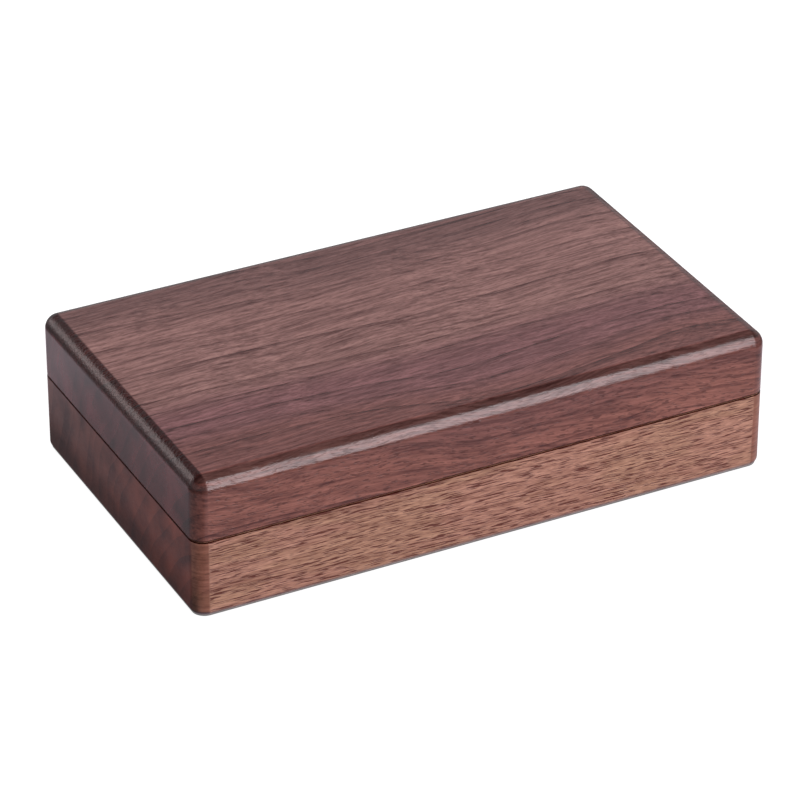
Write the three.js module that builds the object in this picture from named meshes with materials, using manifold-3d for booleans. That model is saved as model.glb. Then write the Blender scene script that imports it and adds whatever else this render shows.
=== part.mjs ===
// Wooden jewellery box: two solid walnut halves, hinged at the back and held shut by magnets,
// with velvet liners, ring rolls and walnut dividers inside.
// Millimetres, +Z up, +X along the length and -Y towards the front.
// The origin is the middle of the underside.

import * as THREE from "three";
import { mergeVertices } from "three/addons/utils/BufferGeometryUtils.js";
import Module from "manifold-3d";

const wasm = await Module();
wasm.setup();

// Outside of the closed box
const boxLength = 200;
const boxDepth = 117;
const baseHeight = 26.6;
const lidHeight = 21.6;
const seamGap = 0.3;

// Rounding of the outside edges
const uprightCornerRadius = 4.9;
const lidTopRadius = 5;
const footRadius = 2;
const rimEase = 0.35;

// Opening at which the bevel along the lid's lower back edge meets the base, in degrees
const lidStopAngle = 97.5;

// Wood left around the pockets in both halves
const endWall = 8;
const frontWall = 8;
const backWall = 9.5;
const baseFloor = 4.5;
const lidRoof = 6;
const pocketCornerRadius = 4;

// Clearance around every piece that is glued or let into the wood
const fitGap = 0.2;

// Butt hinges: the pins lie in the middle of the seam, just inside the back face
const hingeFromEnd = 38;
const hingeLength = 28;
const pinInset = 2.3;
const pinRadius = 0.8;
const pinClearance = 0.05;
const barrelRadius = 1.95;
const barrelClearance = 0.3;
const knuckleGap = 0.3;
const leafThickness = 1.4;
const leafLip = 0.6;
const knuckleCount = 5;

// Countersunk screws of the hinge leaves
const screwFromLeafEnd = 5.5;
const screwLength = 7.5;
const screwPointLength = 1.6;
const screwPointRadius = 0.15;
const screwShankRadius = 0.75;
const screwHeadRadius = 1.5;
const screwHeadHeight = 0.75;
const screwHeadSink = 0.05;
const screwSlotWidth = 0.4;
const screwSlotDepth = 0.35;

// Disc magnets in the front rims
const magnetFromEnd = 26;
const magnetRadius = 2.5;
const magnetThickness = 2.5;
const magnetSink = 0.1;
const magnetEase = 0.2;

// Velvet covered liners in both pockets
const linerWall = 1.5;
const linerFloor = 1.5;
const linerDrop = 1.5;

// Ring rolls at the left, divided compartments at the right
const ringBayLength = 56;
const rollCount = 6;
const rollGap = 0.3;
const rollEndRadius = 2.5;
const dividerThickness = 3;
const dividerDrop = 2;
const dividerTopRadius = 1.2;
const shortDividerCount = 2;
const frontRowShare = 0.5;

// Padded panel in the lid
const padThickness = 5;
const padMargin = 1;
const padEdgeRadius = 2.2;
const padCornerRadius = 3;

// How far a cutting shape reaches past what it cuts, and the smallest corner of an outline
const overrun = 1;
const leastCornerRadius = 0.2;

// Facets of the curved faces
const cornerSteps = 10;
const lidTopSteps = 10;
const footSteps = 5;
const easeSteps = 2;
const barrelSides = 20;
const boreSides = 16;
const screwSides = 12;
const magnetSides = 24;
const rollSides = 24;
const rollEndSteps = 3;
const padEdgeSteps = 4;
const dividerTopSteps = 4;
const quarterTurn = Math.PI / 2;

// Levels of the closed box
const lidBottom = baseHeight + seamGap;
const boxHeight = lidBottom + lidHeight;
const lidPocketTop = boxHeight - lidRoof;

// Plan of the pockets, the same in both halves
const pocket = {
  left: -boxLength / 2 + endWall,
  right: boxLength / 2 - endWall,
  front: -boxDepth / 2 + frontWall,
  back: boxDepth / 2 - backWall,
};

// Pin axis, and the leaf that reaches forward from it
const pinY = boxDepth / 2 - pinInset;
const pinZ = baseHeight + seamGap / 2;
const leafReach = backWall - pinInset - leafLip;
const barrelRoom = barrelRadius + barrelClearance;
const screwFromPin = (barrelRoom + leafReach) / 2;
const pilotDepth = screwHeadSink + screwLength + fitGap;

// Bevel of the lid's lower back edge at 45 degrees. Seen from the pin, its face swings down on to
// the middle of the base's eased back edge and meets it at the stop angle.
const easeReach = rimEase * (1 - Math.SQRT1_2);
const stopTurn = (3 * quarterTurn) / 2 - THREE.MathUtils.degToRad(lidStopAngle);
const bevelFromPin =
  (pinInset - easeReach) * Math.cos(stopTurn) - (seamGap / 2 + easeReach) * Math.sin(stopTurn);
const backBevel = pinInset - seamGap / 2 + Math.SQRT2 * bevelFromPin;

// Material finishes
const lidWalnut = new THREE.MeshStandardMaterial({ color: 0x7e5750, roughness: 0.3, metalness: 0 });
const baseWalnut = new THREE.MeshStandardMaterial({ color: 0x976b5d, roughness: 0.45, metalness: 0 });
const dividerWalnut = new THREE.MeshStandardMaterial({ color: 0x8a6152, roughness: 0.5, metalness: 0 });
const brass = new THREE.MeshStandardMaterial({ color: 0xb08d4a, roughness: 0.35, metalness: 1 });
const nickel = new THREE.MeshStandardMaterial({ color: 0xc4c4c2, roughness: 0.25, metalness: 1 });
const velvet = new THREE.MeshStandardMaterial({ color: 0xb9a893, roughness: 0.95, metalness: 0 });

// A closed geometry as a solid that can be cut and joined.
function solidOf(geometry) {
  const bare = new THREE.BufferGeometry();
  bare.setAttribute("position", geometry.getAttribute("position"));
  if (geometry.index) bare.setIndex(geometry.index);
  const merged = mergeVertices(bare);
  return new wasm.Manifold(
    new wasm.Mesh({
      numProp: 3,
      vertProperties: merged.attributes.position.array,
      triVerts: new Uint32Array(merged.index.array),
    }),
  );
}

// A solid as a geometry again, with flat faces.
function geometryOf(solid) {
  const mesh = solid.getMesh();
  const geometry = new THREE.BufferGeometry();
  geometry.setAttribute("position", new THREE.BufferAttribute(mesh.vertProperties, 3));
  geometry.setIndex(new THREE.BufferAttribute(mesh.triVerts, 1));
  const flat = geometry.toNonIndexed();
  flat.computeVertexNormals();
  return flat;
}

// A rounded rectangle between four sides, drawn in by inset, anticlockwise.
function roundedLoop(plan, cornerRadius, inset) {
  const radius = Math.max(cornerRadius - inset, leastCornerRadius);
  const low = { x: plan.left + inset + radius, y: plan.front + inset + radius };
  const high = { x: plan.right - inset - radius, y: plan.back - inset - radius };
  const centres = [
    [high.x, high.y],
    [low.x, high.y],
    [low.x, low.y],
    [high.x, low.y],
  ];
  return centres.flatMap(([x, y], corner) =>
    Array.from({ length: cornerSteps + 1 }, (_, step) => {
      const angle = (corner + step / cornerSteps) * quarterTurn;
      return [x + radius * Math.cos(angle), y + radius * Math.sin(angle)];
    }),
  );
}

// A solid through a pile of rounded rectangles, each a level { z, inset }, from the lowest up.
function piledSolid(plan, cornerRadius, levels) {
  const loops = levels.map(({ inset }) => roundedLoop(plan, cornerRadius, inset));
  const count = loops[0].length;
  const positions = loops.flatMap((loop, level) => loop.flatMap(([x, y]) => [x, y, levels[level].z]));
  const triangles = [];
  for (let level = 0; level < levels.length - 1; level++) {
    for (let point = 0; point < count; point++) {
      const here = level * count + point;
      const next = level * count + ((point + 1) % count);
      triangles.push(here, next, next + count, here, next + count, here + count);
    }
  }
  const top = (levels.length - 1) * count;
  for (let point = 1; point < count - 1; point++) {
    triangles.push(0, point + 1, point);
    triangles.push(top, top + point, top + point + 1);
  }
  const geometry = new THREE.BufferGeometry();
  geometry.setAttribute("position", new THREE.Float32BufferAttribute(positions, 3));
  geometry.setIndex(triangles);
  return solidOf(geometry);
}

// Levels of a quarter round that starts upright at z and leans in as it goes up (1) or down (-1).
function roundLevels(z, radius, direction, steps) {
  return Array.from({ length: steps + 1 }, (_, step) => {
    const angle = (step / steps) * quarterTurn;
    return {
      z: z + direction * radius * Math.sin(angle),
      inset: radius * (1 - Math.cos(angle)),
    };
  });
}

// A quarter round below, a straight side, and a quarter round above.
function roundedBlock(plan, cornerRadius, bottom, top, lower, upper) {
  const below = roundLevels(bottom + lower.radius, lower.radius, -1, lower.steps).reverse();
  const above = roundLevels(top - upper.radius, upper.radius, 1, upper.steps);
  return piledSolid(plan, cornerRadius, [...below, ...above]);
}

// A straight sided block.
function straightBlock(plan, cornerRadius, bottom, top) {
  return piledSolid(plan, cornerRadius, [
    { z: bottom, inset: 0 },
    { z: top, inset: 0 },
  ]);
}

// A plan drawn in on all sides.
function drawnIn(plan, inset) {
  return {
    left: plan.left + inset,
    right: plan.right - inset,
    front: plan.front + inset,
    back: plan.back - inset,
  };
}

// A plain box between two corners.
function boxBetween(low, high) {
  const size = high.map((value, axis) => value - low[axis]);
  const geometry = new THREE.BoxGeometry(...size);
  geometry.translate(...low.map((value, axis) => value + size[axis] / 2));
  return solidOf(geometry);
}

// A round bar along X, centred on a point.
function barAlongX(centre, radius, length, sides) {
  const geometry = new THREE.CylinderGeometry(radius, radius, length, sides);
  geometry.rotateZ(quarterTurn);
  geometry.translate(...centre);
  return solidOf(geometry);
}

// A round solid about Z whose profile runs from the axis up and back to the axis.
function turned(profile, sides) {
  const points = profile.map(([radius, z]) => new THREE.Vector2(radius, z));
  const geometry = new THREE.LatheGeometry(points, sides);
  geometry.rotateX(quarterTurn);
  return geometry;
}

const outside = {
  left: -boxLength / 2,
  right: boxLength / 2,
  front: -boxDepth / 2,
  back: boxDepth / 2,
};

// Where the two hinges and the two pairs of magnets stand along the length
const sides = [
  {
    name: "left",
    hingeX: outside.left + hingeFromEnd,
    magnetX: outside.left + magnetFromEnd,
  },
  {
    name: "right",
    hingeX: outside.right - hingeFromEnd,
    magnetX: outside.right - magnetFromEnd,
  },
];

// The two halves: the rim of each faces the seam, and facing is the way its rim looks.
const halves = {
  base: { name: "base", rim: baseHeight, facing: 1, firstKnuckle: 0 },
  lid: { name: "lid", rim: lidBottom, facing: -1, firstKnuckle: 1 },
};

// A box that starts at a depth below the rim of one half and runs out past the rim.
function rimCut(half, xRange, yRange, depth) {
  const inner = half.rim - half.facing * depth;
  const outer = half.rim + half.facing * overrun;
  const low = [xRange[0], yRange[0], Math.min(inner, outer)];
  const high = [xRange[1], yRange[1], Math.max(inner, outer)];
  return boxBetween(low, high);
}

// The shallow bed of one hinge leaf and the trough of its barrel, open to the back.
function hingeBed(half, hingeX) {
  const reachX = [hingeX - hingeLength / 2 - fitGap, hingeX + hingeLength / 2 + fitGap];
  const open = outside.back + overrun;
  const bed = rimCut(half, reachX, [pinY - leafReach - fitGap, open], leafThickness + fitGap);
  const behind = rimCut(half, reachX, [pinY, open], barrelRoom - seamGap / 2);
  const trough = barAlongX([hingeX, pinY, pinZ], barrelRoom, hingeLength + 2 * fitGap, barrelSides);
  return bed.add(behind).add(trough);
}

// Middles of a leaf's screws along the length.
function screwPlaces(hingeX) {
  const reach = hingeLength / 2 - screwFromLeafEnd;
  return [hingeX - reach, hingeX + reach];
}

// A blind hole down from the rim of one half.
function rimHole(half, x, y, radius, depth, holeSides) {
  const length = depth + overrun;
  const geometry = new THREE.CylinderGeometry(radius, radius, length, holeSides);
  geometry.rotateX(quarterTurn);
  geometry.translate(x, y, half.rim + (half.facing * (overrun - depth)) / 2);
  return solidOf(geometry);
}

// Everything that is cut into the rim of one half.
function rimCuts(half) {
  return sides.flatMap(({ hingeX, magnetX }) => [
    hingeBed(half, hingeX),
    ...screwPlaces(hingeX).map((x) =>
      rimHole(half, x, pinY - screwFromPin, screwShankRadius + fitGap, pilotDepth, screwSides),
    ),
    rimHole(
      half,
      magnetX,
      outside.front + frontWall / 2,
      magnetRadius + fitGap,
      magnetSink + magnetThickness + fitGap,
      magnetSides,
    ),
  ]);
}

// The lower half: a solid block with a rounded foot, a routed pocket and the cuts in its rim.
function baseShell() {
  const foot = { radius: footRadius, steps: footSteps };
  const rim = { radius: rimEase, steps: easeSteps };
  let body = roundedBlock(outside, uprightCornerRadius, 0, baseHeight, foot, rim);
  body = body.subtract(straightBlock(pocket, pocketCornerRadius, baseFloor, baseHeight + overrun));
  for (const cut of rimCuts(halves.base)) body = body.subtract(cut);
  return body;
}

// The wedge that bevels the lid's lower back edge at 45 degrees.
function bevelWedge() {
  const reach = backBevel + overrun;
  const profile = new THREE.Shape([
    new THREE.Vector2(outside.back - backBevel - overrun, lidBottom - overrun),
    new THREE.Vector2(outside.back + overrun, lidBottom - overrun),
    new THREE.Vector2(outside.back + overrun, lidBottom + reach),
  ]);
  const geometry = new THREE.ExtrudeGeometry(profile, {
    depth: boxLength + 2 * overrun,
    bevelEnabled: false,
  });
  geometry.rotateX(quarterTurn);
  geometry.rotateZ(quarterTurn);
  geometry.translate(-boxLength / 2 - overrun, 0, 0);
  return solidOf(geometry);
}

// The upper half: a solid block with a rounded top edge, a routed pocket, the bevel and the rim cuts.
function lidShell() {
  const rim = { radius: rimEase, steps: easeSteps };
  const crown = { radius: lidTopRadius, steps: lidTopSteps };
  let body = roundedBlock(outside, uprightCornerRadius, lidBottom, boxHeight, rim, crown);
  body = body.subtract(straightBlock(pocket, pocketCornerRadius, lidBottom - overrun, lidPocketTop));
  body = body.subtract(bevelWedge());
  for (const cut of rimCuts(halves.lid)) body = body.subtract(cut);
  return body;
}

// One hinge leaf about the pin's middle: a flat plate and every second knuckle.
// facing is the side of the seam that the plate lies on, and firstKnuckle is its first knuckle.
function hingeLeaf(facing, firstKnuckle) {
  const near = (facing * seamGap) / 2;
  const far = near + facing * leafThickness;
  const low = [-hingeLength / 2, -leafReach, Math.min(near, far)];
  const high = [hingeLength / 2, 0, Math.max(near, far)];
  let leaf = boxBetween(low, high);
  const knuckleLength = (hingeLength - (knuckleCount - 1) * knuckleGap) / knuckleCount;
  for (let knuckle = 0; knuckle < knuckleCount; knuckle++) {
    const middle = -hingeLength / 2 + knuckleLength / 2 + knuckle * (knuckleLength + knuckleGap);
    const own = (knuckle - firstKnuckle) % 2 === 0;
    const radius = own ? barrelRadius : barrelRoom;
    const length = own ? knuckleLength : knuckleLength + 2 * knuckleGap;
    const bar = barAlongX([middle, 0, 0], radius, length, barrelSides);
    leaf = own ? leaf.add(bar) : leaf.subtract(bar);
  }
  const boreLength = hingeLength + 2 * overrun;
  leaf = leaf.subtract(barAlongX([0, 0, 0], pinRadius + pinClearance, boreLength, boreSides));
  for (const x of screwPlaces(0)) leaf = leaf.subtract(countersunkHole(x, -screwFromPin, near, facing));
  return leaf;
}

// The hole of one screw in a leaf: a cone at the seam side and a straight hole through.
function countersunkHole(x, y, seamSide, facing) {
  const shank = screwShankRadius + fitGap;
  const mouth = screwHeadRadius + fitGap;
  const through = leafThickness + overrun;
  const geometry = turned(
    [
      [0, -overrun],
      [mouth, -overrun],
      [mouth, 0],
      [shank, screwHeadHeight + screwHeadSink],
      [shank, through],
      [0, through],
    ],
    screwSides,
  );
  if (facing < 0) geometry.rotateX(2 * quarterTurn);
  geometry.translate(x, y, seamSide);
  return solidOf(geometry);
}

// A countersunk wood screw with its head's face at zero, its point down and a slot along X.
function woodScrew() {
  const shankEnd = screwPointLength - screwLength;
  const body = solidOf(
    turned(
      [
        [0, -screwLength],
        [screwPointRadius, -screwLength],
        [screwShankRadius, shankEnd],
        [screwShankRadius, -screwHeadHeight],
        [screwHeadRadius, 0],
        [0, 0],
      ],
      screwSides,
    ),
  );
  const slotReach = screwHeadRadius + overrun;
  const halfSlot = screwSlotWidth / 2;
  return body.subtract(
    boxBetween([-slotReach, -halfSlot, -screwSlotDepth], [slotReach, halfSlot, overrun]),
  );
}

// A hinge pin about its own middle.
function hingePin() {
  return barAlongX([0, 0, 0], pinRadius, hingeLength, boreSides);
}

// A disc magnet with its outer face at zero.
function discMagnet() {
  const inner = magnetRadius - magnetEase;
  const deep = -magnetThickness;
  return solidOf(
    turned(
      [
        [0, deep],
        [inner, deep],
        [magnetRadius, deep + magnetEase],
        [magnetRadius, -magnetEase],
        [inner, 0],
        [0, 0],
      ],
      magnetSides,
    ),
  );
}

// The liners follow the pockets with a glue gap, and stop short of the rims.
const linerPlan = drawnIn(pocket, fitGap);
const linerCorner = pocketCornerRadius - fitGap;
const linerInside = drawnIn(linerPlan, linerWall);
const linerInsideCorner = linerCorner - linerWall;
const baseLinerBottom = baseFloor + fitGap;
const baseLinerTop = baseHeight - linerDrop;
const compartmentFloor = baseLinerBottom + linerFloor;
const lidLinerBottom = lidBottom + linerDrop;
const lidLinerTop = lidPocketTop - fitGap;
const lidLinerRoof = lidLinerTop - linerFloor;

// The tray that lines the base's pocket.
function baseLiner() {
  const tray = straightBlock(linerPlan, linerCorner, baseLinerBottom, baseLinerTop);
  const hollow = straightBlock(
    linerInside,
    linerInsideCorner,
    compartmentFloor,
    baseLinerTop + overrun,
  );
  return tray.subtract(hollow);
}

// The same upside down in the lid's pocket.
function lidLiner() {
  const tray = straightBlock(linerPlan, linerCorner, lidLinerBottom, lidLinerTop);
  const hollow = straightBlock(
    linerInside,
    linerInsideCorner,
    lidLinerBottom - overrun,
    lidLinerRoof,
  );
  return tray.subtract(hollow);
}

// The padded panel under the lid liner's roof.
function lidPad() {
  const top = lidLinerRoof - fitGap;
  const edge = roundLevels(top - padThickness + padEdgeRadius, padEdgeRadius, -1, padEdgeSteps);
  const plan = drawnIn(linerInside, padMargin);
  return piledSolid(plan, padCornerRadius, [...edge.reverse(), { z: top, inset: 0 }]);
}

// Ring rolls lie side by side along X in the left bay, from front to back.
const rollPitch = (linerInside.back - linerInside.front) / rollCount;
const rollRadius = (rollPitch - rollGap) / 2;
const rollLength = ringBayLength - 2 * fitGap;

function ringRoll() {
  const half = rollLength / 2;
  const end = Array.from({ length: rollEndSteps + 1 }, (_, step) => {
    const angle = (step / rollEndSteps) * quarterTurn;
    return [
      rollRadius - rollEndRadius * (1 - Math.cos(angle)),
      half - rollEndRadius * (1 - Math.sin(angle)),
    ];
  });
  const mirrored = end.map(([radius, z]) => [radius, -z]).reverse();
  const geometry = turned([[0, -half], ...mirrored, ...end, [0, half]], rollSides);
  geometry.rotateY(quarterTurn);
  return solidOf(geometry);
}

// A thin board with a rounded top edge, standing on zero and running along +Y from zero.
const dividerHeight = baseLinerTop - dividerDrop - compartmentFloor - fitGap;

function dividerBoard(length) {
  const half = dividerThickness / 2;
  const round = Math.min(dividerTopRadius, half);
  const profile = new THREE.Shape();
  profile.moveTo(-half, 0);
  profile.lineTo(half, 0);
  profile.absarc(half - round, dividerHeight - round, round, 0, quarterTurn);
  profile.absarc(round - half, dividerHeight - round, round, quarterTurn, 2 * quarterTurn);
  const geometry = new THREE.ExtrudeGeometry(profile, {
    depth: length,
    curveSegments: dividerTopSteps,
    bevelEnabled: false,
  });
  geometry.rotateX(quarterTurn);
  geometry.translate(0, length, 0);
  return solidOf(geometry);
}

// Places of the dividers: one closes the ring bay, one splits the rest into two rows,
// and short ones split the back row.
const bayEnd = linerInside.left + ringBayLength;
const rowsLeft = bayEnd + dividerThickness;
const rowsLength = linerInside.right - rowsLeft;
const rowsDepth = linerInside.back - linerInside.front - dividerThickness;
const longDividerFront = linerInside.front + frontRowShare * rowsDepth;
const backRowFront = longDividerFront + dividerThickness;
const backRowDepth = linerInside.back - backRowFront;
const shortPitch = (rowsLength + dividerThickness) / (shortDividerCount + 1);

// A named piece in a group, at a place and turned about the three axes.
function addPiece(group, name, solid, material, place = [0, 0, 0], turn = [0, 0, 0]) {
  const mesh = new THREE.Mesh(geometryOf(solid), material);
  mesh.name = name;
  mesh.position.set(...place);
  mesh.rotation.set(...turn);
  group.add(mesh);
}

// A screw in each hole of one leaf, point first into the wood.
function addScrews(group, side, hingeX, half) {
  screwPlaces(hingeX).forEach((x, index) => {
    const place = [x, pinY - screwFromPin, half.rim - half.facing * screwHeadSink];
    const turn = [half.facing > 0 ? 0 : 2 * quarterTurn, 0, 0];
    addPiece(group, `hinge_${side}_${half.name}_screw_${index + 1}`, woodScrew(), brass, place, turn);
  });
}

// One hinge leaf, its screws and the magnet of the same half and side.
function addRimFittings(group, side, hingeX, magnetX, half) {
  const leafSide = -half.facing;
  const pinPlace = [hingeX, pinY, pinZ];
  const leaf = hingeLeaf(leafSide, half.firstKnuckle);
  addPiece(group, `hinge_${side}_${half.name}_leaf`, leaf, brass, pinPlace);
  addScrews(group, side, hingeX, half);
  const magnetPlace = [magnetX, outside.front + frontWall / 2, half.rim - half.facing * magnetSink];
  const magnetTurn = [half.facing > 0 ? 0 : 2 * quarterTurn, 0, 0];
  addPiece(group, `magnet_${half.name}_${side}`, discMagnet(), nickel, magnetPlace, magnetTurn);
}

// The lower half with everything that stays with it.
function baseGroup() {
  const group = new THREE.Group();
  addPiece(group, "base_shell", baseShell(), baseWalnut);
  for (const { name, hingeX, magnetX } of sides) {
    addRimFittings(group, name, hingeX, magnetX, halves.base);
    addPiece(group, `hinge_${name}_pin`, hingePin(), brass, [hingeX, pinY, pinZ]);
  }
  addPiece(group, "base_liner", baseLiner(), velvet);
  for (let roll = 0; roll < rollCount; roll++) {
    const place = [
      linerInside.left + ringBayLength / 2,
      linerInside.front + (roll + 1 / 2) * rollPitch,
      compartmentFloor + fitGap + rollRadius,
    ];
    addPiece(group, `ring_roll_${roll + 1}`, ringRoll(), velvet, place);
  }
  addDividers(group);
  return group;
}

// The walnut boards between the compartments, each a fit gap clear of what it meets.
function addDividers(group) {
  const stand = compartmentFloor + fitGap;
  const half = dividerThickness / 2;
  const crossLength = linerInside.back - linerInside.front - 2 * fitGap;
  const crossPlace = [bayEnd + half, linerInside.front + fitGap, stand];
  addPiece(group, "divider_cross", dividerBoard(crossLength), dividerWalnut, crossPlace);
  const longPlace = [linerInside.right - fitGap, longDividerFront + half, stand];
  const longBoard = dividerBoard(rowsLength - 2 * fitGap);
  addPiece(group, "divider_long", longBoard, dividerWalnut, longPlace, [0, 0, quarterTurn]);
  for (let index = 1; index <= shortDividerCount; index++) {
    const place = [rowsLeft + index * shortPitch - half, backRowFront + fitGap, stand];
    const board = dividerBoard(backRowDepth - 2 * fitGap);
    addPiece(group, `divider_short_${index}`, board, dividerWalnut, place);
  }
}

// The upper half with everything that turns with it.
function lidGroup() {
  const group = new THREE.Group();
  addPiece(group, "lid_shell", lidShell(), lidWalnut);
  for (const { name, hingeX, magnetX } of sides) {
    addRimFittings(group, name, hingeX, magnetX, halves.lid);
  }
  addPiece(group, "lid_liner", lidLiner(), velvet);
  addPiece(group, "lid_pad", lidPad(), velvet);
  return group;
}

const organizer = new THREE.Group();
organizer.add(baseGroup(), lidGroup());

export default organizer;
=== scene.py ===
import math

import bmesh
import bpy
from mathutils import Matrix, Vector, noise


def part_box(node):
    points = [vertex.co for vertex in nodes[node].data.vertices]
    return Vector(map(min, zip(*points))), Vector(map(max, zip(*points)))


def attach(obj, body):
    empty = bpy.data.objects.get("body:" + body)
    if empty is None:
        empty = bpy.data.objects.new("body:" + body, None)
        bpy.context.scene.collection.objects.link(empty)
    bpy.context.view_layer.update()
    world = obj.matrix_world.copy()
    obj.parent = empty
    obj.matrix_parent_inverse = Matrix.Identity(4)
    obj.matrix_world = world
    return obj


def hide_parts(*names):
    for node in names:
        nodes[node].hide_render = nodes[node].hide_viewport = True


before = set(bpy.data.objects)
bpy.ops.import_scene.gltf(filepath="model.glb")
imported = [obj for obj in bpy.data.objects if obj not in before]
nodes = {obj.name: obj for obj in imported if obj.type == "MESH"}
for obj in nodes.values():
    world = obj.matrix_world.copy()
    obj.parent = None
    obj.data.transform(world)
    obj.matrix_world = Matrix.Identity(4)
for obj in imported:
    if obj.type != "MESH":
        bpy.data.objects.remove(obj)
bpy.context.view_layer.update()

# Lengths are in metres. The box's length lies along x, its depth along y, and z is up.
millimetre = 0.001


# Places taken from model.glb, and the radius of the four upright corners

base_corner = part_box("base_shell")[1]
lid_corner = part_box("lid_shell")[0]
half_length = base_corner.x
half_depth = base_corner.y
corner_radius = 4.9 * millimetre


# Colours, written as they look on a screen

def colour(red, green, blue):
    """A screen colour from 0 to 255 as the linear colour that a shader takes."""
    def linear(value):
        share = value / 255
        return share / 12.92 if share <= 0.04045 else ((share + 0.055) / 1.055) ** 2.4

    return (linear(red), linear(green), linear(blue), 1.0)


white = colour(255, 255, 255)


# Building a material's nodes

class Graph:
    """The node tree of one material, with a short call for each kind of node in use.

    A range is a pair of values: where a smooth change starts, and where it ends. Two more may
    follow, for what it changes from and to when that isn't 0 and 1.
    """

    def __init__(self, owner):
        owner.use_nodes = True
        self.tree = owner.node_tree
        self.tree.nodes.clear()

    def node(self, kind, inputs=None, **settings):
        made = self.tree.nodes.new("ShaderNode" + kind)
        for key, value in settings.items():
            setattr(made, key, value)
        for key, value in (inputs or {}).items():
            self.feed(made.inputs[key], value)
        return made

    def feed(self, socket, value):
        if isinstance(value, bpy.types.NodeSocket):
            self.tree.links.new(value, socket)
        else:
            socket.default_value = value

    def math(self, operation, *values, clamp=False):
        inputs = dict(enumerate(values))
        return self.node("Math", inputs, operation=operation, use_clamp=clamp).outputs[0]

    def product(self, first, *others):
        for other in others:
            first = self.math("MULTIPLY", first, other)
        return first

    def added(self, base, value, share, clamp=False):
        """The base with a share of the value added to it."""
        return self.math("MULTIPLY_ADD", value, share, base, clamp=clamp)

    def remainder(self, share):
        return self.math("SUBTRACT", 1.0, share)

    def between(self, share, first, second):
        """A number on the way from the first to the second."""
        return self.node("Mix", {0: share, 2: first, 3: second}).outputs[0]

    def vector(self, operation, *values):
        made = self.node("VectorMath", dict(enumerate(values)), operation=operation)
        return made.outputs["Value" if operation == "LENGTH" else "Vector"]

    def scaled(self, vector, factor):
        made = self.node("VectorMath", {0: vector, "Scale": factor}, operation="SCALE")
        return made.outputs["Vector"]

    def split(self, vector):
        return self.node("SeparateXYZ", {0: vector}).outputs[:3]

    def joined(self, x=0.0, y=0.0, z=0.0):
        return self.node("CombineXYZ", {0: x, 1: y, 2: z}).outputs[0]

    def steps(self, place, sizes):
        """The place counted in steps of these sizes, so that a pattern is stretched by them."""
        return self.vector("MULTIPLY", place, tuple(1 / size for size in sizes))

    def noise(self, place, sizes, detail=2.0, roughness=0.5):
        """Smooth noise from 0 to 1."""
        inputs = {"Vector": self.steps(place, sizes), "Scale": 1.0,
                  "Detail": detail, "Roughness": roughness}
        return self.node("TexNoise", inputs).outputs[0]

    def wander(self, place, sizes, detail=2.0, roughness=0.5):
        """Smooth noise about zero."""
        return self.math("SUBTRACT", self.noise(place, sizes, detail, roughness), 0.5)

    def cells(self, place, sizes):
        inputs = {"Vector": self.steps(place, sizes), "Scale": 1.0, "Randomness": 1.0}
        return self.node("TexVoronoi", inputs).outputs

    def rise(self, value, start, end, low=0.0, high=1.0):
        """Goes smoothly from low to high while the value goes from start to end."""
        inputs = {"Value": value, 1: start, 2: end, 3: low, 4: high}
        return self.node("MapRange", inputs, interpolation_type="SMOOTHSTEP").outputs[0]

    def mix(self, share, first, second, blend="MIX"):
        """A colour on the way from the first to the second."""
        made = self.node("Mix", data_type="RGBA", blend_type=blend, clamp_factor=True)
        for socket, value in zip((0, 6, 7), (share, first, second)):
            self.feed(made.inputs[socket], value)
        return made.outputs[2]

    def tinted(self, surface, tint, share=1.0):
        """The colour multiplied by a tint, as far as the share says."""
        return self.mix(share, surface, tint, blend="MULTIPLY")

    def bump(self, height, distance):
        return self.node("Bump", {"Height": height, "Distance": distance}).outputs[0]

    def principled(self, inputs):
        self.surface(self.node("BsdfPrincipled", inputs))

    def surface(self, shader):
        self.node("OutputMaterial", {"Surface": shader.outputs[0]})


def new_material(name):
    """A material, its graph, and the place of each point on the object."""
    material = bpy.data.materials.new(name)
    graph = Graph(material)
    return material, graph, graph.node("TexCoord").outputs["Object"]


def ray_kinds(graph):
    """1 for a ray straight from the camera, and 1 for a mirrored or refracted one."""
    rays = graph.node("LightPath").outputs
    return rays["Is Camera Ray"], graph.math("MAXIMUM", rays["Is Glossy Ray"],
                                             rays["Is Transmission Ray"])


# Walnut

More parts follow.
